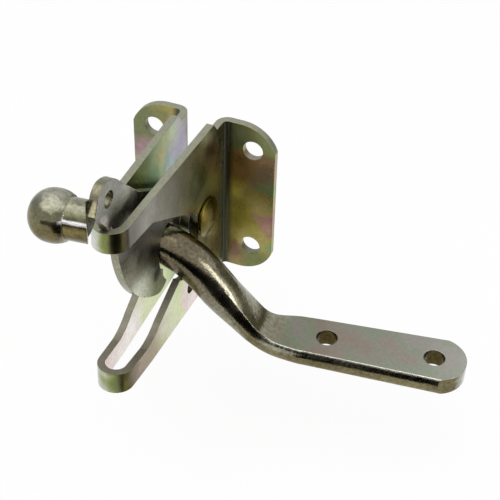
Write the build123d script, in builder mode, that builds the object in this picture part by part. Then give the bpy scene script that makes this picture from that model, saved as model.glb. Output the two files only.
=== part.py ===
"""Automatic gate latch: folded latch body, pivoting drop lever, pivot rivet and striker bar.

Frame: the post face is the plane y = 0 and the latch stands out towards -Y, +X is to the right
of someone looking at the post and +Z is up. Lengths are in mm. Heights below are counted from the
body's lower edge; each piece is stored lowered so that the origin is the centre of the four post
screw holes, on the post face. Side profiles are written as (forward, up) pairs, where forward is
the distance out from the post.
"""
import os
from math import atan, cos, radians, sin, sqrt, tan

from build123d import *

os.makedirs("parts", exist_ok=True)

# Latch body, one folded sheet
sheet = 2.2             # sheet thickness
flange_half = 23.0      # half the width over both flanges
flange_top = 53.8       # height of the flanges
cheek_top = 56.8        # height of the cheeks and of the nose
cheek_half = 6.98       # half width over the cheeks, carried back to the post plane
cheek_taper = 0.0266    # how much each cheek closes in per mm forward
nose_low = 68.7         # reach of the nose at z = 0
nose_high = 66.1        # reach of the nose at the cheek top
bend_inner = 1.5        # inside radius of the flange bends
screw_x = 16.0          # post screw holes
screw_z = (9.5, 45.5)
screw_r = 3.15
middle_z = 27.5         # height of the screw pattern's centre over the lower edge
corner_r = 11.6         # large rounding of the flange corners
corner_drop = 7.9       # how far down the corner rounding reaches at the side edge
tool_hole = (25.6, 8.2)  # small hole under the throat
tool_hole_r = 2.5

# Pivot
pivot = (14.8, 27.3)
shank_r = 3.0
lever_bore_r = 3.06
head_r = 6.2
head_rise = 2.3
clench_r = 5.2
clench_rise = 1.7

# Lever, forged from round bar
paddle = 2.4            # thickness between the cheeks
eye_r = 7.5
boss_r = 7.0
boss_half = 4.0
stem_r = 5.5
stem_at = (71.3, 64.3)  # where the stem's axis crosses the paddle's middle plane
stem_turn = 7.0         # the stem leans forward from the sideways direction, degrees
knob_r = 7.0
knob_rim_r = 6.0
knob_start = 5.2
knob_length = 10.2
tab_hole = (63.4, 66.1)  # in the upright tab, for a pull cord or a small shackle
tab_hole_r = 2.4

# Striker, forged from 12 mm round bar
bar_r = 6.0
bar_axis_y = -29.8      # where the bar's axis crosses x = 0
bar_yaw = 8.2           # it lies a little skew in the throat, degrees
bar_z = 28.3            # height of the bar's straight end
bar_end = -15.0
bend1_start = -12.0
bend1_r = 31.8
crank = 51.4            # crank angle, degrees
bend2_r = 14.0
flat_z = -2.5           # middle of the flat
flat_thick = 5.7
flat_rise = 1.7         # how far the flat's middle lies above the round bar's axis
flare_lead = 15.0       # length of the straight crank over which the flattening begins
flare_thin = 19.5       # length over which the thickness goes down
flare_wide = 17.5       # and the width goes up, in the bend and past it
flare_out = 8.0         # how far past the bend the flattening ends
flat_w0 = 14.7          # width of the flat face at its start
flat_w1 = 17.0          # and at its end
flat_bulge = 0.9        # the sides bulge, as a flattened round bar's do
flat_skin = 0.02        # shaved off the underside, which makes it truly flat
flat_end_s = 82.6       # centre of the rounded end, along the bar
flat_end_r = 8.9
flat_holes = (49.8, 82.0)
flat_hole_r = 3.2

side = Plane(origin=(0, 0, 0), x_dir=(0, -1, 0), z_dir=(-1, 0, 0))
stored = Pos(0, 0, -middle_z)


def outer_x(forward):
    """Half width over the cheeks at a distance from the post."""
    return cheek_half - cheek_taper * forward


def sheet_section(reach, level):
    """Plan section of the folded sheet at one height, as a closed face."""
    k = sqrt(1 + cheek_taper ** 2)
    # the nose's outer circle touches both cheek lines: centre at forward c, radius r
    c = (reach - cheek_half / k) / (1 - cheek_taper / k)
    r = (cheek_half - cheek_taper * c) / k
    ri = r - sheet
    b = atan(cheek_taper)
    xo, xi = outer_x(sheet), outer_x(0) - sheet * k
    back = bend_inner + sheet
    outer_touch = (r * cos(b), -(c + r * sin(b)))
    inner_touch = (ri * cos(b), -(c + ri * sin(b)))

    def mirror(p):
        return (-p[0], p[1])

    with BuildSketch(Plane.XY.offset(level)) as s:
        with BuildLine():
            # right rear bend, rounded where the flange turns into the cheek
            a0, a1 = (flange_half, 0), (flange_half, -sheet)
            f_in = (outer_x(sheet + bend_inner), -(sheet + bend_inner))
            f_out = (xo + bend_inner, -sheet)
            f_mid = (xo + bend_inner * (1 - sin(radians(45))) - 0.02, -sheet - bend_inner * (1 - sin(radians(45))))
            b_out = (xi + back, 0)
            b_in = (xi - cheek_taper * back, -back)
            b_mid = (xi + back * (1 - sin(radians(45))) - 0.05, -back * (1 - sin(radians(45))))
            Line(a0, a1)
            Line(a1, f_out)
            ThreePointArc(f_out, f_mid, f_in)
            Line(f_in, outer_touch)
            ThreePointArc(outer_touch, (0, -(c + r)), mirror(outer_touch))
            Line(mirror(outer_touch), mirror(f_in))
            ThreePointArc(mirror(f_in), mirror(f_mid), mirror(f_out))
            Line(mirror(f_out), mirror(a1))
            Line(mirror(a1), mirror(a0))
            Line(mirror(a0), mirror(b_out))
            ThreePointArc(mirror(b_out), mirror(b_mid), mirror(b_in))
            Line(mirror(b_in), mirror(inner_touch))
            ThreePointArc(mirror(inner_touch), (0, -(c + ri)), inner_touch)
            Line(inner_touch, b_in)
            ThreePointArc(b_in, b_mid, b_out)
            Line(b_out, a0)
        make_face()
    return s.sketch.face()


with BuildPart() as latch_body:
    loft([sheet_section(nose_low, 0), sheet_section(nose_high, cheek_top)], ruled=True)
    # the flanges stop lower than the cheeks, with a slanted step behind each cheek's top
    with BuildSketch(side):
        with BuildLine():
            Polyline((-5, flange_top), (7.5, flange_top), (9.9, cheek_top + 0.01), (9.9, 70), (-5, 70), close=True)
        make_face()
    extrude(amount=40, both=True, mode=Mode.SUBTRACT)
    # rounded outer corners of both flanges
    with BuildSketch(Plane.XZ):
        with BuildLine():
            h, d, r = flange_half, corner_drop, corner_r
            cx = h - sqrt(r ** 2 - (r - d) ** 2)
            top_c, low_c = flange_top - r, r
            q = sqrt(0.5) * r
            mid = (cx + r * cos(radians(54)), r * sin(radians(54)))
            ThreePointArc((h, flange_top - d), (mid[0], top_c + mid[1]), (cx, flange_top))
            Line((cx, flange_top), (9.4, flange_top))
            Line((9.4, flange_top), (9.4, 80))
            Line((9.4, 80), (60, 80))
            Line((60, 80), (60, flange_top - d))
            Line((60, flange_top - d), (h, flange_top - d))
        make_face()
        with BuildLine():
            ThreePointArc((h, d), (mid[0], low_c - mid[1]), (cx, 0))
            Line((cx, 0), (9.4, 0))
            Line((9.4, 0), (9.4, -20))
            Line((9.4, -20), (60, -20))
            Line((60, -20), (60, d))
            Line((60, d), (h, d))
        make_face()
        mirror(about=Plane.YZ)
    extrude(amount=10, both=True, mode=Mode.SUBTRACT)
    # post screw holes
    with BuildSketch(Plane.XZ):
        with Locations(*[(x, z) for x in (-screw_x, screw_x) for z in screw_z]):
            Circle(screw_r)
    extrude(amount=10, both=True, mode=Mode.SUBTRACT)
    # the mouth: ramp, throat seat and upper lip, punched through both cheeks and the nose
    with BuildSketch(side):
        with BuildLine():
            Line((90, 10.0), (54.5, 6.9))
            ThreePointArc((54.5, 6.9), (50.2, 7.7), (46.0, 9.9))
            Line((46.0, 9.9), (33.0, 16.2))
            seat_c, seat_r = (28.0, 21.7), 7.5
            ThreePointArc((33.0, 16.2),
                          (seat_c[0] - seat_r * sin(radians(40)), seat_c[1] - seat_r * cos(radians(40))),
                          (seat_c[0] - seat_r, seat_c[1]))
            Line((seat_c[0] - seat_r, seat_c[1]), (20.4, 28.6))
            ThreePointArc((20.4, 28.6), (22.3, 33.2), (26.6, 36.6))
            Line((26.6, 36.6), (48.4, 49.0))
            Line((48.4, 49.0), (66.0, 50.4))
            Line((66.0, 50.4), (90, 51.0))
            Line((90, 51.0), (90, 10.0))
        make_face()
    extrude(amount=40, both=True, mode=Mode.SUBTRACT)
    # the lower nose is bent up a little at its tip
    with BuildSketch(side):
        with BuildLine():
            Polyline((52, 0), (70, 1.1), (90, 2.4), (90, -10), (52, -10), close=True)
        make_face()
    extrude(amount=40, both=True, mode=Mode.SUBTRACT)
    # pivot hole and the small hole under the throat
    with BuildSketch(side):
        with Locations(pivot):
            Circle(shank_r)
        with Locations(tool_hole):
            Circle(tool_hole_r)
    extrude(amount=20, both=True, mode=Mode.SUBTRACT)

latch_body.part = stored * latch_body.part
latch_body.part.label = "latch_body"
export_step(latch_body.part, "parts/latch_body.step")

# Pivot rivet: domed head on the right, shank through both cheeks, clenched on the left
head_base = outer_x(pivot[0] - head_r) + 0.01
with BuildPart() as pivot_rivet:
    with BuildSketch(Plane(origin=(0, -pivot[0], pivot[1]), x_dir=(1, 0, 0), z_dir=(0, 1, 0))):
        with BuildLine():
            x0, x1 = -head_base, head_base
            Line((x0 - clench_rise, 0), (x0 - clench_rise, clench_r - 1.6))
            Line((x0 - clench_rise, clench_r - 1.6), (x0 - 0.5, clench_r))
            Line((x0 - 0.5, clench_r), (x0, clench_r))
            Line((x0, clench_r), (x0, shank_r))
            Line((x0, shank_r), (x1, shank_r))
            Line((x1, shank_r), (x1, head_r))
            Line((x1, head_r), (x1 + 0.7, head_r))
            cap = head_rise - 0.7
            cap_r = (head_r ** 2 + cap ** 2) / (2 * cap)
            half_way = sqrt(cap_r ** 2 - head_r ** 2 / 4) - cap_r + head_rise
            ThreePointArc((x1 + 0.7, head_r), (x1 + half_way, head_r / 2), (x1 + head_rise, 0))
            Line((x1 + head_rise, 0), (x0 - clench_rise, 0))
        make_face()
    revolve(axis=Axis((0, -pivot[0], pivot[1]), (1, 0, 0)))

pivot_rivet.part = stored * pivot_rivet.part
pivot_rivet.part.label = "pivot_rivet"
export_step(pivot_rivet.part, "parts/pivot_rivet.step")

# Lever: eye and boss on the rivet, paddle with the catching lobe, tab with its hole, round stem
# turned out to the left and the barrel knob
a = radians(stem_turn)
stem_dir = Vector(-cos(a), -sin(a), 0)
stem_origin = Vector(0, -stem_at[0], stem_at[1])
reach = 21.7            # radius about the pivot at which the lobe's catching edge runs
rest_z = cheek_top + 0.4  # the tab rests over the top of the nose
tab_front = (70.9, 65.4)  # foremost corner of the tab
stem_end_slope = 28.0   # slope of the stem's end where it stands out ahead of the tab


def about_pivot(r, deg):
    return (pivot[0] + r * cos(radians(deg)), pivot[1] + r * sin(radians(deg)))


with BuildPart() as latch_lever:
    with BuildSketch(side):
        with BuildLine():
            eye_top = about_pivot(eye_r, 123)
            # upper edge and the upright tab with its rounded top
            Line(eye_top, (30.0, 46.1))
            Line((30.0, 46.1), (47.0, 57.2))
            Line((47.0, 57.2), (57.4, 67.9))
            ThreePointArc((57.4, 67.9), (60.6, 70.7), (64.4, 72.0))
            ThreePointArc((64.4, 72.0), (67.1, 71.4), (68.8, 69.6))
            Line((68.8, 69.6), tab_front)
            Line(tab_front, (65.4, rest_z + 1.4))
            Line((65.4, rest_z + 1.4), (65.0, rest_z))
            Line((65.0, rest_z), (62.9, rest_z))
            # front of the lobe, down to its tail
            Line((62.9, rest_z), (60.4, 50.6))
            tail = about_pivot(reach, -38.5)
            tip_low = about_pivot(reach + 5.6, -31)
            ThreePointArc((60.4, 50.6), about_pivot(reach + 16.2, -2.5), tip_low)
            ThreePointArc(tip_low, about_pivot(reach + 3.2, -36.4), tail)
            # catching edge, concentric with the pivot, then over the bar and back to the eye
            ThreePointArc(tail, about_pivot(reach, -20), about_pivot(reach, -2))
            ThreePointArc(about_pivot(reach, -2), (34.9, 31.5), (29.8, 33.9))
            Line((29.8, 33.9), about_pivot(eye_r, 28))
            ThreePointArc(about_pivot(eye_r, 28), about_pivot(eye_r, -105), eye_top)
        make_face()
    extrude(amount=paddle / 2, both=True)
    with BuildSketch(side):
        with Locations(pivot):
            Circle(boss_r)
    extrude(amount=boss_half, both=True)
    # stem, joined to the tab's left face; ahead of the tab its end slopes off to the right
    with BuildPart(mode=Mode.PRIVATE) as stem:
        with BuildSketch(Plane(origin=stem_origin - stem_dir * paddle, x_dir=(0, 0, 1), z_dir=stem_dir)):
            Circle(stem_r)
        extrude(amount=knob_start + 1.0 + paddle)
        with BuildSketch(Plane.XY.offset(stem_at[1] - 10)):
            with BuildLine():
                joint_x, front_y = 0.1 - paddle / 2, -tab_front[0]
                slope_x = joint_x + 20 * tan(radians(stem_end_slope))
                Polyline((joint_x, front_y + 20), (joint_x, front_y), (slope_x, front_y - 20),
                         (40, front_y - 20), (40, front_y + 20), close=True)
            make_face()
        extrude(amount=20, mode=Mode.SUBTRACT)
    add(stem.part)
    # knob
    knob_plane = Plane(origin=stem_origin + stem_dir * knob_start, x_dir=stem_dir, z_dir=(0, 0, 1))
    with BuildSketch(knob_plane):
        with BuildLine():
            Line((0, 0), (0, knob_rim_r))
            ThreePointArc((0, knob_rim_r), (2.0, knob_r - 0.18), (4.4, knob_r))
            ThreePointArc((4.4, knob_r), (7.9, knob_r - 1.1), (knob_length, knob_r - 4.0))
            Line((knob_length, knob_r - 4.0), (knob_length, 0))
            Line((knob_length, 0), (0, 0))
        make_face()
    revolve(axis=Axis(stem_origin + stem_dir * knob_start, stem_dir))
    # holes
    with BuildSketch(side):
        with Locations(pivot):
            Circle(lever_bore_r)
    extrude(amount=20, both=True, mode=Mode.SUBTRACT)
    with BuildSketch(side):
        with Locations(tab_hole):
            Circle(tab_hole_r)
    extrude(amount=paddle, both=True, mode=Mode.SUBTRACT)

latch_lever.part = stored * latch_lever.part
latch_lever.part.label = "latch_lever"
export_step(latch_lever.part, "parts/latch_lever.step")

# Striker bar, drawn along its own length in a plane and then turned into the throat
bar_plane = Plane(origin=(0, bar_axis_y, 0), x_dir=(cos(radians(bar_yaw)), sin(radians(bar_yaw)), 0),
                  z_dir=(sin(radians(bar_yaw)), -cos(radians(bar_yaw)), 0))
k = radians(crank)
p0 = (bar_end, bar_z)
p1 = (bend1_start, bar_z)
p2 = (p1[0] + bend1_r * sin(k), p1[1] - bend1_r * (1 - cos(k)))
drop = p2[1] - (flat_z - flat_rise) - bend2_r * (1 - cos(k))
p3 = (p2[0] + drop / tan(k), p2[1] - drop)
p4 = (p3[0] + bend2_r * sin(k), flat_z - flat_rise)
centre2 = (p4[0], p4[1] + bend2_r)


def forged_section(at, tilt, half_w, half_t, bulge_w, bulge_t):
    """Cross-section of the forging with four curved sides, square to the bar at the given slope."""
    o = bar_plane.from_local_coords((at[0], at[1], 0))
    o = Vector(o)
    along = bar_plane.x_dir * cos(tilt) - Vector(0, 0, 1) * sin(tilt)
    across = Vector(-bar_plane.x_dir.Y, bar_plane.x_dir.X, 0)
    with BuildSketch(Plane(origin=o, x_dir=across, z_dir=along)) as s:
        with BuildLine():
            c = [(half_w, half_t), (-half_w, half_t), (-half_w, -half_t), (half_w, -half_t)]
            if bulge_t:
                ThreePointArc(c[0], (0, half_t + bulge_t), c[1])
                ThreePointArc(c[2], (0, -half_t - bulge_t), c[3])
            else:
                Line(c[0], c[1])
                Line(c[2], c[3])
            ThreePointArc(c[1], (-half_w - bulge_w, 0), c[2])
            ThreePointArc(c[3], (half_w + bulge_w, 0), c[0])
        make_face()
    return s.sketch.face()


def eased(u):
    """0 up to u = 0, 1 from u = 1, and smooth between them."""
    u = max(0, min(1, u))
    return u * u * (3 - 2 * u)


def blend_section(gone):
    """Section of the flattening stretch at a length past its start, from round to the flat's section."""
    thin = eased(gone / flare_thin)
    wide = eased(1 - (flare_length - gone) / flare_wide)
    at_s = flare_start + gone
    turned = min(max(0, at_s - straight_length) / bend2_r, k)
    tilt = k - turned
    if at_s < straight_length:
        at = (p2[0] + at_s * cos(k), p2[1] - at_s * sin(k))
    else:
        past = at_s - straight_length - turned * bend2_r
        at = (centre2[0] - bend2_r * sin(tilt) + past, centre2[1] - bend2_r * cos(tilt))
    at = (at[0] + flat_rise * thin * sin(tilt), at[1] + flat_rise * thin * cos(tilt))
    bulge_w = round_bulge + (flat_bulge - round_bulge) * thin
    half_w = bar_r + (flat_w0 / 2 + flat_bulge - bar_r) * wide - bulge_w
    return forged_section(at, tilt, half_w, round_half + (flat_thick / 2 - round_half) * thin,
                          bulge_w, round_bulge * (1 - thin))


round_half = bar_r * sqrt(0.5)
round_bulge = bar_r - round_half
straight_length = drop / sin(k)
flare_start = straight_length - flare_lead
flare_length = flare_lead + bend2_r * k + flare_out
flare = [blend_section(flare_length * i / 12) for i in range(13)]
with BuildPart() as striker_bar:
    with BuildLine(bar_plane) as path:
        Line(p0, p1)
        ThreePointArc(p1, (p1[0] + bend1_r * sin(k / 2), p1[1] - bend1_r * (1 - cos(k / 2))), p2)
        Line(p2, (p2[0] + flare_start * cos(k), p2[1] - flare_start * sin(k)))
    with BuildSketch(Plane(origin=bar_plane.from_local_coords((p0[0], p0[1], 0)), x_dir=(0, 0, 1),
                           z_dir=bar_plane.x_dir)):
        Circle(bar_r)
    sweep(path=path.wire())
    # the bend where the bar is hammered flat
    loft(flare)
    # the flat, widening a little towards its end
    end_s = flat_end_s + flat_end_r + 4
    loft([flare[-1],
          forged_section((end_s, flat_z), 0, flat_w1 / 2 + 0.2, flat_thick / 2, flat_bulge, 0)], ruled=True)
    flat_plane = Plane(origin=bar_plane.from_local_coords((0, flat_z, 0)), x_dir=bar_plane.x_dir, z_dir=(0, 0, 1))
    with BuildSketch(flat_plane.offset(flat_skin - flat_thick / 2)):
        with Locations((60, 0)):
            Rectangle(120, 40)
    extrude(amount=-5, mode=Mode.SUBTRACT)
    with BuildSketch(flat_plane):
        with BuildLine():
            r = flat_end_r
            w = 20
            start = flat_end_s + 1.9
            y = sqrt(r ** 2 - 1.9 ** 2)
            ThreePointArc((start, y), (flat_end_s + r, 0), (start, -y))
            Polyline((start, -y), (start, -w), (end_s + 10, -w), (end_s + 10, w), (start, w), (start, y))
        make_face()
    extrude(amount=10, both=True, mode=Mode.SUBTRACT)
    with BuildSketch(flat_plane):
        with Locations(*[(s, 0) for s in flat_holes]):
            Circle(flat_hole_r)
    extrude(amount=10, both=True, mode=Mode.SUBTRACT)

striker_bar.part = stored * striker_bar.part
striker_bar.part.label = "striker_bar"
export_step(striker_bar.part, "parts/striker_bar.step")
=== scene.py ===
"""Looks for an automatic gate latch in yellow passivated zinc: its finishes, a pale studio and the camera.

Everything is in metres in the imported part's frame: the post face is y = 0, the latch stands out
towards -Y, +Z is up and the origin is the centre of the four post screw holes.
"""
import math

import bpy
from mathutils import Matrix, Vector


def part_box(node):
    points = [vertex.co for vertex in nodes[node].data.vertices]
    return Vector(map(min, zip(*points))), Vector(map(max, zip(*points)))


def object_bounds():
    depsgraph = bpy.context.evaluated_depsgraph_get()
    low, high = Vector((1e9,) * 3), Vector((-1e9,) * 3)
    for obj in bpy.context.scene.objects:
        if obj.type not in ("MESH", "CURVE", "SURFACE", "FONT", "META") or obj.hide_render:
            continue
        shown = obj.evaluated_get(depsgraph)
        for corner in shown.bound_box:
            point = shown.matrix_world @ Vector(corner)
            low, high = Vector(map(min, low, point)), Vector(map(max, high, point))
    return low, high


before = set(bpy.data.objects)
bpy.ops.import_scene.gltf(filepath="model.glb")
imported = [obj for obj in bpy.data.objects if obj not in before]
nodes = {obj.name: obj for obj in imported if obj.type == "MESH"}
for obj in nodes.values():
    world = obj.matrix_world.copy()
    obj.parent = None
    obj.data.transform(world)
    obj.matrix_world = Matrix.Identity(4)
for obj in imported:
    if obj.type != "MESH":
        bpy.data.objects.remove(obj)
cad_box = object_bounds()

MM = 0.001
LOWER_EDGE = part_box("latch_body")[0].z    # heights are taken from the body's lower edge

# Camera, as the photograph was taken: where it aims, from which side in degrees, and how far away
AIM = Vector((23.35, -21.35, -2.78)) * MM
AZIMUTH = 20.88
ELEVATION = 40.04
ROLL = 1.82
DISTANCE = 352.87 * MM
LENS = 87.05
SENSOR = 36.0
NEAREST_SEEN = 10 * MM

# Studio
FLOOR = cad_box[0].z - 30 * MM  # 30 mm under the part's lowest point
FLOOR_SIZE = 6
SUBJECT = (0.02, -0.03, 0.0)    # what the lamps and the standing cards face
STRAIGHT_UP = 1.0               # height of a place over a lying card that it faces
WHITE = (1, 1, 1, 1)
DARK_CARD = "#141412"
BROWN_CARD = "#878371"
AMBIENT = 0.65                  # what the white surroundings give to matt surfaces
PAPER_GLOW = 0.9                # share of the floor's colour that no shadow takes away

# Finishes
ZONE = 11 * MM                  # real size of the passivation's colour zones
STRAY = 5 * MM                  # how far their borders wander
PATCH_CORE = 0.25               # share of a patch's reach that has its full colour
FRONT = -75 * MM                # front of the noses, where ramps from the post face end
SHEARED_DULLER = 0.2            # added to the roughness on sheared edges
STEM_SMOOTHER = -0.1            # added to the roughness on the stem and knob
MOST_OF_NOISE = {"From_Min": 0.35, "From_Max": 0.65}    # the range that most of a noise's values lie in

SMOOTH = {"interpolation_type": "SMOOTHSTEP"}
COLOURS = {"data_type": "RGBA"}


def linear(hex_code):
    """An sRGB hex colour as linear red, green, blue and alpha."""
    parts = [int(hex_code[i:i + 2], 16) / 255 for i in (1, 3, 5)]
    return [c / 12.92 if c <= 0.04045 else ((c + 0.055) / 1.055) ** 2.4 for c in parts] + [1.0]


def height_at(mm_up):
    """A height, given in millimetres above the body's lower edge."""
    return LOWER_EDGE + mm_up * MM


def at(x, forward, up):
    """A place in millimetres from the middle, from the post face and from the body's lower edge."""
    return (x * MM, -forward * MM, height_at(up))


def add(tree, kind, settings=None, stops=(), **inputs):
    """Adds a shader node.

    Settings are its properties and stops are a colour ramp's places and colours. Inputs are values,
    sockets or nodes that feed it, by name, or by number where names repeat: i0, i1.
    """
    made = tree.nodes.new("ShaderNode" + kind)
    for name, value in (settings or {}).items():
        setattr(made, name, value)
    for number, (place, hex_code) in enumerate(stops):
        elements = made.color_ramp.elements
        element = elements[number] if number < len(elements) else elements.new(place)
        element.position = place
        element.color = linear(hex_code)
    for name, value in inputs.items():
        if name[1:].isdigit():
            socket = made.inputs[int(name[1:])]
        else:
            socket = next(s for s in made.inputs if s.enabled and s.name == name.replace("_", " "))
        if isinstance(value, bpy.types.Node):
            value = next(s for s in value.outputs if s.enabled)
        if isinstance(value, bpy.types.NodeSocket):
            tree.links.new(value, socket)
        else:
            socket.default_value = value
    return made


def emptied_tree(owner):
    """The nodes of a new material or world, with nothing in them yet."""
    owner.use_nodes = True
    owner.node_tree.nodes.clear()
    return owner.node_tree


def bare_metal(name):
    """A new metal with nothing but its shader: the material, its tree and its shader."""
    material = bpy.data.materials.new(name)
    tree = emptied_tree(material)
    shader = add(tree, "BsdfPrincipled", Metallic=1.0)
    add(tree, "OutputMaterial", Surface=shader)
    return material, tree, shader


def tinted_patches(tree, place, under, patches):
    """Lays soft round patches of other oil-slick colours over what is under them.

    A patch is its centre, how far it reaches in millimetres, and its colour.
    """
    for centre, reach_mm, hex_code in patches:
        far = add(tree, "VectorMath", {"operation": "DISTANCE"}, i0=place, i1=at(*centre))
        cover = add(tree, "MapRange", SMOOTH, Value=far.outputs["Value"], From_Min=reach_mm * MM,
                    From_Max=PATCH_CORE * reach_mm * MM)
        under = add(tree, "Mix", COLOURS, Factor=cover, A=under, B=linear(hex_code))
    return under


def plated_skin(tree, shader, place, grain_mm, depth_mm, edge_mm, dull, bright):
    """Skin of plated steel: rounded edges, fine pits and a gloss that changes a little from spot to spot.

    The real pits are about 0.1 mm across. They are drawn about ten times as coarse, to show. The dull
    and bright spots are about 6 mm across.
    """
    edge = add(tree, "Bevel", {"samples": 6}, Radius=edge_mm * MM)
    askew = add(tree, "Mapping", Vector=place, Rotation=(0.4, 0.3, 0.5))    # off the flat faces' own planes
    pits = add(tree, "TexNoise", Vector=askew, Scale=1 / (grain_mm * MM), Detail=2.0, Roughness=0.6)
    skin = add(tree, "Bump", Strength=0.4, Distance=depth_mm * MM, Height=pits, Normal=edge)
    tree.links.new(skin.outputs["Normal"], shader.inputs["Normal"])
    spots = add(tree, "TexNoise", Vector=askew, Scale=1 / (6 * MM), Detail=1.0)
    gloss = add(tree, "MapRange", Value=spots, To_Min=bright, To_Max=dull, **MOST_OF_NOISE)
    tree.links.new(gloss.outputs["Result"], shader.inputs["Roughness"])
    return pits, gloss


def speckled(tree, shader, colour, pits, darkest, palest):
    """Colours the shader, darker down in the pits and paler between them."""
    speckle = add(tree, "MapRange", Value=pits, From_Min=0.3, From_Max=0.7, To_Min=darkest, To_Max=palest)
    scaled = add(tree, "VectorMath", {"operation": "SCALE"}, Vector=colour, Scale=speckle)
    tree.links.new(scaled.outputs[0], shader.inputs["Base Color"])


def cheek_colours(tree, drift, forward, is_outside):
    """Both sides of the cheeks and upper arms, from the post to the nose."""
    # outside: straw, olive, brown, grey and brown again
    outside = add(tree, "ValToRGB", stops=[
        (0.05, "#cdcaa0"), (0.20, "#a3a374"), (0.33, "#84825a"), (0.44, "#66614a"), (0.55, "#6f6c5c"),
        (0.67, "#8e8b80"), (0.80, "#605d53"), (0.95, "#5e5b4d")], Fac=forward)
    outside = tinted_patches(tree, drift, outside, (
        ((7, 26, 33), 8, "#7a6c2c"), ((7, 31, 31), 6, "#8e7a78"), ((7, 12, 50), 9, "#7d6b50"),
        ((7, 22, 44), 8, "#6d7350")))
    # faces that look at each other: lilac grey, yellow green, then dark green
    inside = add(tree, "ValToRGB", stops=[
        (0.04, "#807e73"), (0.12, "#a6a3a4"), (0.19, "#a2ae90"), (0.27, "#b2c186"), (0.34, "#98b07c"),
        (0.42, "#7a8a50"), (0.52, "#606b36"), (0.70, "#4a5029")], Fac=forward)
    inside = tinted_patches(tree, drift, inside, (
        ((-4.8, 14, 43), 10, "#8ea5a6"), ((-4.8, 8, 48), 6, "#9892a4"), ((-4.8, 21, 53), 6, "#b9b270"),
        ((-4.8, 30, 47), 8, "#7fa070"), ((-4.8, 38, 50), 9, "#96a152")))
    return add(tree, "Mix", COLOURS, Factor=is_outside, A=inside, B=outside)


def lower_arm_colours(tree, forward, is_outside):
    """The lower arms, much paler: light green, with pink towards the nose and where the outside starts."""
    outside = add(tree, "ValToRGB", stops=[
        (0.26, "#efe3de"), (0.37, "#dccbc6"), (0.44, "#cfdaa6"), (0.55, "#cfd1b6"), (0.66, "#b8b2a8"),
        (0.79, "#b9adb0"), (0.88, "#62604c")], Fac=forward)
    inside = add(tree, "ValToRGB", stops=[
        (0.30, "#cdd6a0"), (0.50, "#d3dab0"), (0.58, "#e6e0d8"), (0.66, "#f6f2f2"), (0.85, "#f0e4e8")],
        Fac=forward)
    return add(tree, "Mix", COLOURS, Factor=is_outside, A=inside, B=outside)


def nose_colours(tree, place, across):
    """The bent fronts of both noses: pale on the left, olive on the right."""
    sideways = add(tree, "MapRange", Value=across, From_Min=-7 * MM, From_Max=7 * MM)
    front = add(tree, "ValToRGB", stops=[
        (0.10, "#d4d7d0"), (0.28, "#cdcfc6"), (0.42, "#99a074"), (0.54, "#7c854c"), (0.66, "#7c8052"),
        (0.80, "#66623f"), (0.95, "#6c6a50")], Fac=sideways)
    return tinted_patches(tree, place, front, (
        ((2.8, 71.5, 50), 6.5, "#cfcca0"), ((4.8, 70.5, 4), 6, "#6a6a50")))


def flange_colours(tree, drift, x):
    """The flanges: olive brown with patches of yellow, pink and green, and painted shade along the bend."""
    flange = tinted_patches(tree, drift, linear("#9c9258"), (
        ((10, 2.2, 50), 9, "#909a73"), ((20, 2.2, 50), 10, "#a8b07c"), ((12, 2.2, 39), 8, "#b39160"),
        ((20, 2.2, 37), 8, "#a18b71"), ((15.5, 2.2, 41.5), 5, "#b89372"), ((10, 2.2, 31), 8, "#d0c266"),
        ((14, 2.2, 20), 9, "#857c38"), ((21.5, 2.2, 20), 7, "#9a766c"), ((11.5, 2.2, 6), 7, "#735648"),
        ((19, 2.2, 5), 9, "#73794f"), ((23.5, 2.2, 33), 5, "#80a06e"), ((23.5, 2.2, 14), 4, "#7a9564"),
        ((-20, 2.2, 44), 12, "#757a58"), ((-19, 2.2, 36), 8, "#a0838a"), ((-21, 2.2, 30), 8, "#a0a884"),
        ((-16, 2.2, 14), 12, "#9a8f48")))
    from_middle = add(tree, "Math", {"operation": "ABSOLUTE"}, i0=x)
    # painted shade: darker along the bend of each flange
    bend_shade = add(tree, "MapRange", SMOOTH, Value=from_middle, From_Min=10.5 * MM, From_Max=8 * MM)
    return add(tree, "Mix", COLOURS, Factor=bend_shade, A=flange, B=linear("#494b3f"))


def sheared_edge_colours(tree, z):
    """The sheet's sheared edges: grey brown, with painted light by height, darkest at mid height and palest
    at the top.
    """
    level = add(tree, "MapRange", SMOOTH, Value=z, From_Min=height_at(10), From_Max=height_at(42))
    # painted light: the edges palest at the top and darkest at mid height
    return add(tree, "ValToRGB", stops=[(0.0, "#7c786a"), (0.35, "#625e4e"), (0.9, "#90907f")], Fac=level)


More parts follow.
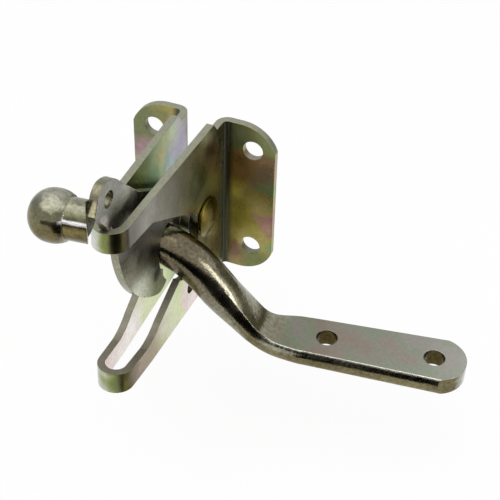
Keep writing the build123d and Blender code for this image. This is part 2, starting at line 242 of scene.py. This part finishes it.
def body_yellow_passivated_zinc():
    """Pressed steel sheet, zinc plated and yellow passivated.

    The thin chromate film gives the eye an olive metal with soft oil-slick zones of green, brown and pink,
    much paler on the lower arms. Over it lie painted shade along the flange bends and painted light on the
    sheared edges, palest at the top.
    """
    material, tree, shader = bare_metal("body_yellow_passivated_zinc")
    coords = add(tree, "TexCoord")
    place = coords.outputs["Object"]
    stir = add(tree, "TexNoise", {"normalize": False}, Vector=place, Scale=1 / ZONE, Detail=2.0)
    drift = add(tree, "VectorMath", {"operation": "MULTIPLY_ADD"}, i0=stir.outputs["Color"],
                i1=(STRAY, STRAY, STRAY), i2=place)
    x, y, z = add(tree, "SeparateXYZ", Vector=place).outputs
    nx, ny, nz = add(tree, "SeparateXYZ", Vector=coords.outputs["Normal"]).outputs
    drifted = add(tree, "SeparateXYZ", Vector=drift).outputs
    forward = add(tree, "MapRange", Value=drifted["Y"], From_Min=0, From_Max=FRONT)
    outward = add(tree, "Math", {"operation": "MULTIPLY"}, i0=x, i1=nx)
    is_outside = add(tree, "MapRange", SMOOTH, Value=outward, From_Min=0, From_Max=2 * MM)

    # where each part of the sheet is
    low_down = add(tree, "MapRange", SMOOTH, Value=z, From_Min=height_at(22), From_Max=height_at(18))
    out_front = add(tree, "MapRange", SMOOTH, Value=y, From_Min=-16 * MM, From_Max=-24 * MM)
    on_arms = add(tree, "Math", {"operation": "MULTIPLY"}, i0=low_down, i1=out_front)
    faces_front = add(tree, "MapRange", SMOOTH, Value=ny, From_Min=-0.25, From_Max=-0.6)
    on_flange = add(tree, "MapRange", SMOOTH, Value=y, From_Min=-4 * MM, From_Max=-3 * MM)
    tilt = add(tree, "Math", {"operation": "ABSOLUTE"}, i0=nz)
    is_edge = add(tree, "MapRange", SMOOTH, Value=tilt, From_Min=0.25, From_Max=0.45)

    coloured = cheek_colours(tree, drift, forward, is_outside)
    for cover, colours in ((on_arms, lower_arm_colours(tree, forward, is_outside)),
                           (faces_front, nose_colours(tree, place, drifted["X"])),
                           (on_flange, flange_colours(tree, drift, x)),
                           (is_edge, sheared_edge_colours(tree, z))):
        coloured = add(tree, "Mix", COLOURS, Factor=cover, A=coloured, B=colours)
    pits, gloss = plated_skin(tree, shader, place, grain_mm=1.1, depth_mm=0.03, edge_mm=0.3,
                              dull=0.34, bright=0.26)
    edge_gloss = add(tree, "Math", {"operation": "MULTIPLY_ADD"}, i0=is_edge, i1=SHEARED_DULLER, i2=gloss)
    tree.links.new(edge_gloss.outputs[0], shader.inputs["Roughness"])
    speckled(tree, shader, coloured, pits, 0.9, 1.1)
    return material


def rivet_yellow_zinc():
    """Cold headed steel rivet with a heavy yellow passivation, which gives a dull gold in 5 mm clouds."""
    material, tree, shader = bare_metal("rivet_yellow_zinc")
    place = add(tree, "TexCoord").outputs["Object"]
    clouds = add(tree, "TexNoise", Vector=place, Scale=1 / (5 * MM), Detail=3.0)
    gold = add(tree, "ValToRGB", stops=[(0.35, "#504719"), (0.5, "#6b5f28"), (0.65, "#8a7b3c")], Fac=clouds)
    tree.links.new(gold.outputs["Color"], shader.inputs["Base Color"])
    plated_skin(tree, shader, place, grain_mm=1.0, depth_mm=0.04, edge_mm=0.3, dull=0.36, bright=0.26)
    return material


def knob_and_stem_colours(tree, x, z, nx, clouds):
    """The round knob and its stem by height: gold brown, with painted reflection bands and highlights, and
    a narrow near-white band along the stem.
    """
    level = add(tree, "MapRange", Value=z, From_Min=height_at(57.3), From_Max=height_at(71.3))
    # painted reflections on the knob by height: pale floor low down, gold brown, a darker band and a paler
    # top
    knob = add(tree, "ValToRGB", stops=[
        (0.10, "#98958a"), (0.20, "#6a6348"), (0.45, "#6d6444"), (0.60, "#736b4e"), (0.70, "#737059"),
        (0.84, "#65644f"), (1.0, "#8f8e80")], Fac=level)
    # painted reflections on the stem by height, with a narrow near-white band and a painted highlight near
    # the top
    stem = add(tree, "ValToRGB", stops=[
        (0.20, "#8d876e"), (0.40, "#5e5538"), (0.55, "#877c50"), (0.645, "#544c34"), (0.66, "#f4f0f0"),
        (0.71, "#f4f0f0"), (0.73, "#5a5843"), (0.81, "#605f4b"), (0.89, "#8b8a78")], Fac=level)
    off_knob = add(tree, "MapRange", SMOOTH, Value=x, From_Min=-5.6 * MM, From_Max=-5.2 * MM)
    height_bands = add(tree, "Mix", COLOURS, Factor=off_knob, A=knob, B=stem)
    mottle = add(tree, "MapRange", Value=clouds, To_Min=0.72, To_Max=1.3, **MOST_OF_NOISE)
    bar = add(tree, "VectorMath", {"operation": "SCALE"}, Vector=height_bands, Scale=mottle)
    # painted highlight: near white on the stem's end cut
    end_cut_highlight = add(tree, "MapRange", SMOOTH, Value=nx, From_Min=0.5, From_Max=0.8)
    return add(tree, "Mix", COLOURS, Factor=end_cut_highlight, A=bar, B=linear("#f4f2ea"))


def plate_colours(tree, place, z, nx, clouds):
    """The lever's plate: grey tab, painted shade and a dark painted reflection where the lobe goes under
    the nose, and a pale grey green painted reflection below.
    """
    plate = add(tree, "ValToRGB", stops=[(0.35, "#84837b"), (0.65, "#93928a")], Fac=clouds)
    # tab: a pale patch, and a near-white patch at its lower front. Lobe: painted shade and a dark painted
    # reflection of the bar above, a pale grey green painted reflection of the floor below, and a small dark
    # spot of painted shade
    plate = tinted_patches(tree, place, plate, (
        ((1.2, 51, 57), 12, "#d5d4ca"), ((1.2, 45, 42), 17, "#3b3a33"), ((1.2, 42, 32), 12, "#65645a"),
        ((1.2, 56, 30), 14, "#a9a993"), ((1.2, 48, 21), 11, "#eff4e3"), ((1.2, 38, 21), 3.5, "#2f2e26"),
        ((1.2, 67.5, 59.5), 4.5, "#fbf3f3")))
    flatness = add(tree, "Math", {"operation": "ABSOLUTE"}, i0=nx)
    is_face = add(tree, "MapRange", SMOOTH, Value=flatness, From_Min=0.4, From_Max=0.7)
    level = add(tree, "MapRange", Value=z, From_Min=height_at(44), From_Max=height_at(58))
    rim = add(tree, "Mix", COLOURS, Factor=level, A=linear("#94947f"), B=linear("#75725e"))
    return add(tree, "Mix", COLOURS, Factor=is_face, A=rim, B=plate)


def lever_forged_zinc():
    """Forged and blanked steel, zinc plated over a slightly rough skin.

    It gives a grey with a gold cast on the knob, in clouds of about 3.5 mm. Over that lie painted
    reflections by height on the knob and stem and a painted highlight on the stem's end cut, and painted
    shade and reflections on the lobe.
    """
    material, tree, shader = bare_metal("lever_forged_zinc")
    coords = add(tree, "TexCoord")
    place = coords.outputs["Object"]
    x, y, z = add(tree, "SeparateXYZ", Vector=place).outputs
    nx = add(tree, "SeparateXYZ", Vector=coords.outputs["Normal"]).outputs["X"]
    clouds = add(tree, "TexNoise", Vector=place, Scale=1 / (3.5 * MM), Detail=5.0, Roughness=0.6)
    left_of_tab = add(tree, "MapRange", SMOOTH, Value=x, From_Min=-1.2 * MM, From_Max=-1.5 * MM)
    ahead_of_tab = add(tree, "MapRange", SMOOTH, Value=y, From_Min=-71.0 * MM, From_Max=-71.4 * MM)
    on_stem = add(tree, "Math", {"operation": "MAXIMUM"}, i0=left_of_tab, i1=ahead_of_tab)
    coloured = add(tree, "Mix", COLOURS, Factor=on_stem, A=plate_colours(tree, place, z, nx, clouds),
                   B=knob_and_stem_colours(tree, x, z, nx, clouds))
    pits, gloss = plated_skin(tree, shader, place, grain_mm=0.9, depth_mm=0.12, edge_mm=0.3,
                              dull=0.38, bright=0.26)
    stem_gloss = add(tree, "Math", {"operation": "MULTIPLY_ADD"}, i0=on_stem, i1=STEM_SMOOTHER, i2=gloss)
    tree.links.new(stem_gloss.outputs[0], shader.inputs["Roughness"])
    speckled(tree, shader, coloured, pits, 0.75, 1.2)
    return material


def round_bar_colours(tree, place, x, clouds):
    """The striker's round bar: grey brown, with painted shade in the throat and on the walls of the flat's
    screw holes.
    """
    bar = add(tree, "ValToRGB", stops=[(0.35, "#7d7a67"), (0.65, "#9d9a88")], Fac=clouds)
    # painted shade: darker where the bar lies in the throat between the cheeks
    throat_shade = add(tree, "MapRange", SMOOTH, Value=x, From_Min=24 * MM, From_Max=8 * MM)
    bar = add(tree, "Mix", COLOURS, Factor=throat_shade, A=bar, B=linear("#6b6350"))
    # painted shade: darker on the walls of the flat's screw holes
    hole_wall_shade = (((49.3, 22.7, -2.5), 9.0, "#51492f"), ((81.2, 18.1, -2.5), 9.0, "#51492f"))
    pale_tip = ((92, 16, -2.5), 8, "#b9b9b4")
    return tinted_patches(tree, place, bar, (*hole_wall_shade, pale_tip))


def hammered_flat_colours(tree, x, clouds):
    """The striker's flat: faint green and pink, paler towards its tip."""
    film = add(tree, "ValToRGB", stops=[
        (0.36, "#967f76"), (0.45, "#908a80"), (0.54, "#83947a"), (0.64, "#99918f")], Fac=clouds)
    along = add(tree, "MapRange", Value=x, From_Min=40 * MM, From_Max=92 * MM)
    paler = add(tree, "ValToRGB", stops=[
        (0.0, "#656453"), (0.25, "#7d7b70"), (0.7, "#8f8f85"), (1.0, "#adada6")], Fac=along)
    return add(tree, "Mix", COLOURS, Factor=0.55, A=film, B=paler)


def striker_drawn_zinc():
    """Drawn round bar, bent and hammered flat, zinc plated.

    The bar is the glossiest piece: it shows the studio in long bands. The flat is greyer and has the
    faint green and pink of a thin passivation, in clouds of about 12 mm, and a painted highlight along
    its edge.
    """
    material, tree, shader = bare_metal("striker_drawn_zinc")
    coords = add(tree, "TexCoord")
    place = coords.outputs["Object"]
    x = add(tree, "SeparateXYZ", Vector=place).outputs["X"]
    nz = add(tree, "SeparateXYZ", Vector=coords.outputs["Normal"]).outputs["Z"]
    clouds = add(tree, "TexNoise", Vector=place, Scale=1 / (12 * MM), Detail=3.0)
    past_crank = add(tree, "MapRange", SMOOTH, Value=x, From_Min=30 * MM, From_Max=39 * MM)
    faces_up = add(tree, "MapRange", SMOOTH, Value=nz, From_Min=0.5, From_Max=0.9)
    is_flat = add(tree, "Math", {"operation": "MULTIPLY"}, i0=past_crank, i1=faces_up)
    coloured = add(tree, "Mix", COLOURS, Factor=is_flat, A=round_bar_colours(tree, place, x, clouds),
                   B=hammered_flat_colours(tree, x, clouds))
    # painted highlight: near white along the flat's edge, where its top turns down
    to_edge = add(tree, "MapRange", SMOOTH, Value=nz, From_Min=0.45, From_Max=0.6)
    past_edge = add(tree, "MapRange", SMOOTH, Value=nz, From_Min=0.97, From_Max=0.85)
    across_edge = add(tree, "Math", {"operation": "MULTIPLY"}, i0=to_edge, i1=past_edge)
    edge_highlight = add(tree, "Math", {"operation": "MULTIPLY"}, i0=across_edge, i1=past_crank)
    coloured = add(tree, "Mix", COLOURS, Factor=edge_highlight, A=coloured, B=linear("#f6f3ea"))
    pits = plated_skin(tree, shader, place, grain_mm=1.0, depth_mm=0.15, edge_mm=0.4,
                       dull=0.24, bright=0.15)[0]
    darkest = add(tree, "MapRange", Value=is_flat, To_Min=0.66, To_Max=0.93)
    palest = add(tree, "MapRange", Value=is_flat, To_Min=1.3, To_Max=1.06)
    speckled(tree, shader, coloured, pits, darkest, palest)
    return material


for name, finish in (("latch_body", body_yellow_passivated_zinc()), ("pivot_rivet", rivet_yellow_zinc()),
                     ("latch_lever", lever_forged_zinc()), ("striker_bar", striker_drawn_zinc())):
    mesh = nodes[name].data
    mesh.materials.clear()
    mesh.materials.append(finish)


def seen_or_mirrored(tree):
    """1 to the camera, in reflections and through glass, and 0 where a surface only lights another one."""
    path = add(tree, "LightPath").outputs
    indirectly = add(tree, "Math", {"operation": "MAXIMUM"}, i0=path["Is Glossy Ray"],
                     i1=path["Is Transmission Ray"])
    return add(tree, "Math", {"operation": "MAXIMUM"}, i0=path["Is Camera Ray"], i1=indirectly)


def white_surroundings():
    """A white world to the camera and to reflections, and a plain level of light to matt surfaces."""
    world = bpy.data.worlds.new("studio")
    bpy.context.scene.world = world
    tree = emptied_tree(world)
    strength = add(tree, "MapRange", Value=seen_or_mirrored(tree), To_Min=AMBIENT, To_Max=1.0)
    light = add(tree, "Background", Color=WHITE, Strength=strength)
    add(tree, "OutputWorld", Surface=light)


def studio_card(name, hex_code, width, height, place, facing):
    """A card of the studio, seen in reflections only. It is as bright as its colour is written."""
    bpy.ops.mesh.primitive_plane_add(size=1)
    card = bpy.context.object
    card.name = name
    card.scale = (width, height, 1)
    card.location = place
    card.rotation_euler = (Vector(facing) - Vector(place)).to_track_quat("Z", "Y").to_euler()
    card.visible_camera = False
    card.visible_shadow = False
    card.visible_diffuse = False
    material = bpy.data.materials.new(name + "_paint")
    tree = emptied_tree(material)
    paint = add(tree, "Emission", Color=linear(hex_code))
    add(tree, "OutputMaterial", Surface=paint)
    card.data.materials.append(material)


def lying_card(name, hex_code, width, depth, x, y, lift_mm):
    """A card that lies just over the floor, face up."""
    studio_card(name, hex_code, width, depth, (x, y, FLOOR + lift_mm * MM), (x, y, STRAIGHT_UP))


def soft_lamp(name, width, height, radiance, place):
    """A softbox, as bright as radiance times white paper in this scene."""
    lamp = bpy.data.lights.new(name, "AREA")
    lamp.shape = "RECTANGLE"
    lamp.size = width
    lamp.size_y = height
    lamp.energy = radiance * math.pi * width * height
    holder = bpy.data.objects.new(name, lamp)
    bpy.context.scene.collection.objects.link(holder)
    holder.location = place
    holder.rotation_euler = (Vector(SUBJECT) - Vector(place)).to_track_quat("-Z", "Y").to_euler()


def pale_floor():
    """White paper well under the part. Part of its colour is its own, so the shadow on it stays faint."""
    bpy.ops.mesh.primitive_plane_add(size=FLOOR_SIZE, location=(0, 0, FLOOR))
    floor = bpy.context.object
    floor.name = "studio_floor"
    material = bpy.data.materials.new("floor_paper")
    tree = emptied_tree(material)
    share = add(tree, "Math", {"operation": "MULTIPLY"}, i0=seen_or_mirrored(tree), i1=PAPER_GLOW)
    paper = add(tree, "BsdfDiffuse", Color=linear("#f8f8f6"))
    glow = add(tree, "Emission", Color=WHITE)
    mixed = add(tree, "MixShader", i0=share, i1=paper, i2=glow)
    add(tree, "OutputMaterial", Surface=mixed)
    floor.data.materials.append(material)


def photo_camera():
    """The camera, placed by aim, azimuth, elevation, roll and distance."""
    azimuth, elevation, roll = (math.radians(v) for v in (AZIMUTH, ELEVATION, ROLL))
    back = Vector((math.sin(azimuth) * math.cos(elevation), -math.cos(azimuth) * math.cos(elevation),
                   math.sin(elevation)))
    right = Vector((math.cos(azimuth), math.sin(azimuth), 0))
    up = back.cross(right)
    tilted_right = right * math.cos(roll) + up * math.sin(roll)
    tilted_up = back.cross(tilted_right)
    camera = bpy.data.cameras.new("camera")
    camera.sensor_width = SENSOR
    camera.lens = LENS
    camera.clip_start = NEAREST_SEEN
    holder = bpy.data.objects.new("camera", camera)
    bpy.context.scene.collection.objects.link(holder)
    turn = Matrix((tilted_right, tilted_up, back)).transposed()
    holder.matrix_world = Matrix.Translation(AIM + back * DISTANCE) @ turn.to_4x4()
    bpy.context.scene.camera = holder


white_surroundings()
pale_floor()
photo_camera()
soft_lamp("softbox_overhead", 1.0, 1.0, 1.25, (-0.1, -0.2, 0.8))
soft_lamp("softbox_right", 0.25, 0.5, 4.0, (0.88, -0.18, 0.22))
studio_card("dark_front", DARK_CARD, 2.0, 0.26, (0.34, -0.72, FLOOR + 0.13), SUBJECT)
lying_card("dark_front_floor", DARK_CARD, 1.1, 0.695, 0.58, -0.4275, 4)
lying_card("brown_near_floor", "#cfc6ab", 0.14, 0.065, 0.085, -0.0475, 5)
studio_card("brown_back_right", BROWN_CARD, 0.85, 0.34, (0.55, 0.5, 0.08), SUBJECT)
lying_card("brown_back_floor", BROWN_CARD, 0.9, 0.6, 0.25, 0.55, 4)

bpy.context.scene.view_settings.view_transform = "Standard"
